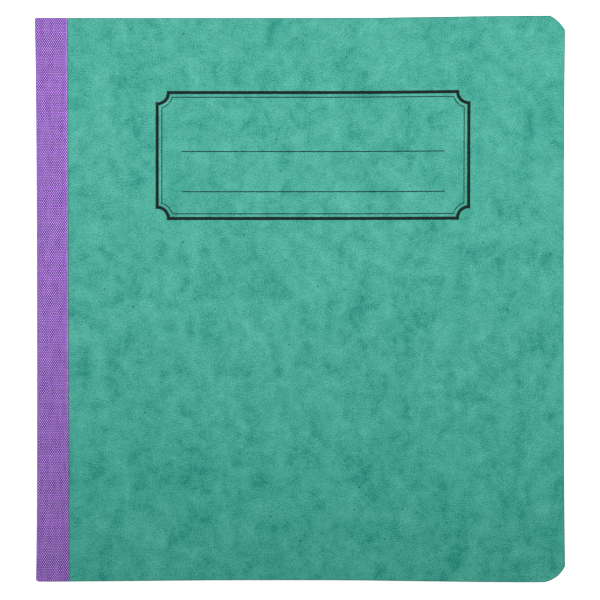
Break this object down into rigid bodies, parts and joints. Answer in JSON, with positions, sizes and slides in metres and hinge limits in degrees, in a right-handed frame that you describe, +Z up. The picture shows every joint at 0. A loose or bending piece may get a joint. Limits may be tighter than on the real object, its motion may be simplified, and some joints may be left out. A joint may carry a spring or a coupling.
{
  "type": "cash book",
  "caption": "Thin, nearly square account book with green mottled pressboard covers, rounded fore-edge corners and a purple cloth-taped spine, stapled through the side.",
  "frame": {"origin": "middle of the closed book's footprint, on the surface that its back cover lies on", "axes": "+Z up through the front cover, +X from the spine to the fore-edge, +Y from the tail to the head"},
  "size_m": [0.1966, 0.21, 0.0064],
  "materials": {
    "cover_card": "mottled green pressboard, calendered, faint sheen",
    "spine_cloth": "plain-woven purple bookbinding tape",
    "leaf_paper": "smooth off-white ledger paper with ruled lines",
    "staple_steel": "drawn steel stitching wire"
  },
  "bodies": {
    "spine": {"spine_tape": "spine_cloth", "front_cover_margin": "cover_card", "back_cover_margin": "cover_card", "leaf_margin_block": "leaf_paper", "staple_1": "staple_steel", "staple_2": "staple_steel", "staple_3": "staple_steel"},
    "front_cover": {"front_cover": "cover_card"},
    "leaf_01": {"leaf_01": "leaf_paper"},
    "leaf_02": {"leaf_02": "leaf_paper"},
    "leaf_03": {"leaf_03": "leaf_paper"},
    "leaf_04": {"leaf_04": "leaf_paper"},
    "leaf_05": {"leaf_05": "leaf_paper"},
    "leaves_06_12": {"leaf_06": "leaf_paper", "leaf_07": "leaf_paper", "leaf_08": "leaf_paper", "leaf_09": "leaf_paper", "leaf_10": "leaf_paper", "leaf_11": "leaf_paper", "leaf_12": "leaf_paper"},
    "leaves_13_19": {"leaf_13": "leaf_paper", "leaf_14": "leaf_paper", "leaf_15": "leaf_paper", "leaf_16": "leaf_paper", "leaf_17": "leaf_paper", "leaf_18": "leaf_paper", "leaf_19": "leaf_paper"},
    "leaves_20_26": {"leaf_20": "leaf_paper", "leaf_21": "leaf_paper", "leaf_22": "leaf_paper", "leaf_23": "leaf_paper", "leaf_24": "leaf_paper", "leaf_25": "leaf_paper", "leaf_26": "leaf_paper"},
    "leaves_27_33": {"leaf_27": "leaf_paper", "leaf_28": "leaf_paper", "leaf_29": "leaf_paper", "leaf_30": "leaf_paper", "leaf_31": "leaf_paper", "leaf_32": "leaf_paper", "leaf_33": "leaf_paper"},
    "leaves_34_40": {"leaf_34": "leaf_paper", "leaf_35": "leaf_paper", "leaf_36": "leaf_paper", "leaf_37": "leaf_paper", "leaf_38": "leaf_paper", "leaf_39": "leaf_paper", "leaf_40": "leaf_paper"},
    "back_cover": {"back_cover": "cover_card"}
  },
  "joints": [
    {"name": "front_cover_hinge", "type": "hinge", "parent": "leaf_01", "child": "front_cover", "pos_m": [-0.08625, 0, 0.00636], "axis": [0, -1, 0], "range_deg": [0, 179.99]},
    {"name": "leaf_01_turn", "type": "hinge", "parent": "leaf_02", "child": "leaf_01", "pos_m": [-0.08625, 0, 0.00636], "axis": [0, -1, 0], "range_deg": [0, 179.99]},
    {"name": "leaf_02_turn", "type": "hinge", "parent": "leaf_03", "child": "leaf_02", "pos_m": [-0.08625, 0, 0.00636], "axis": [0, -1, 0], "range_deg": [0, 179.99]},
    {"name": "leaf_03_turn", "type": "hinge", "parent": "leaf_04", "child": "leaf_03", "pos_m": [-0.08625, 0, 0.00636], "axis": [0, -1, 0], "range_deg": [0, 179.99]},
    {"name": "leaf_04_turn", "type": "hinge", "parent": "leaf_05", "child": "leaf_04", "pos_m": [-0.08625, 0, 0.00636], "axis": [0, -1, 0], "range_deg": [0, 179.99]},
    {"name": "leaf_05_turn", "type": "hinge", "parent": "leaves_06_12", "child": "leaf_05", "pos_m": [-0.08625, 0, 0.00636], "axis": [0, -1, 0], "range_deg": [0, 179.99]},
    {"name": "leaves_06_12_turn", "type": "hinge", "parent": "leaves_13_19", "child": "leaves_06_12", "pos_m": [-0.08625, 0, 0.00636], "axis": [0, -1, 0], "range_deg": [0, 179.99]},
    {"name": "leaves_13_19_turn", "type": "hinge", "parent": "leaves_20_26", "child": "leaves_13_19", "pos_m": [-0.08625, 0, 0.00636], "axis": [0, -1, 0], "range_deg": [0, 179.99]},
    {"name": "leaves_20_26_turn", "type": "hinge", "parent": "leaves_27_33", "child": "leaves_20_26", "pos_m": [-0.08625, 0, 0.00636], "axis": [0, -1, 0], "range_deg": [0, 179.99]},
    {"name": "leaves_27_33_turn", "type": "hinge", "parent": "leaves_34_40", "child": "leaves_27_33", "pos_m": [-0.08625, 0, 0.00636], "axis": [0, -1, 0], "range_deg": [0, 179.99]},
    {"name": "leaves_34_40_turn", "type": "hinge", "parent": "spine", "child": "leaves_34_40", "pos_m": [-0.08625, 0, 0.00636], "axis": [0, -1, 0], "range_deg": [0, 179.99]},
    {"name": "back_cover_hinge", "type": "hinge", "parent": "spine", "child": "back_cover", "pos_m": [-0.08625, 0, 0], "axis": [0, 1, 0], "range_deg": [0, 179.99]}
  ]
}
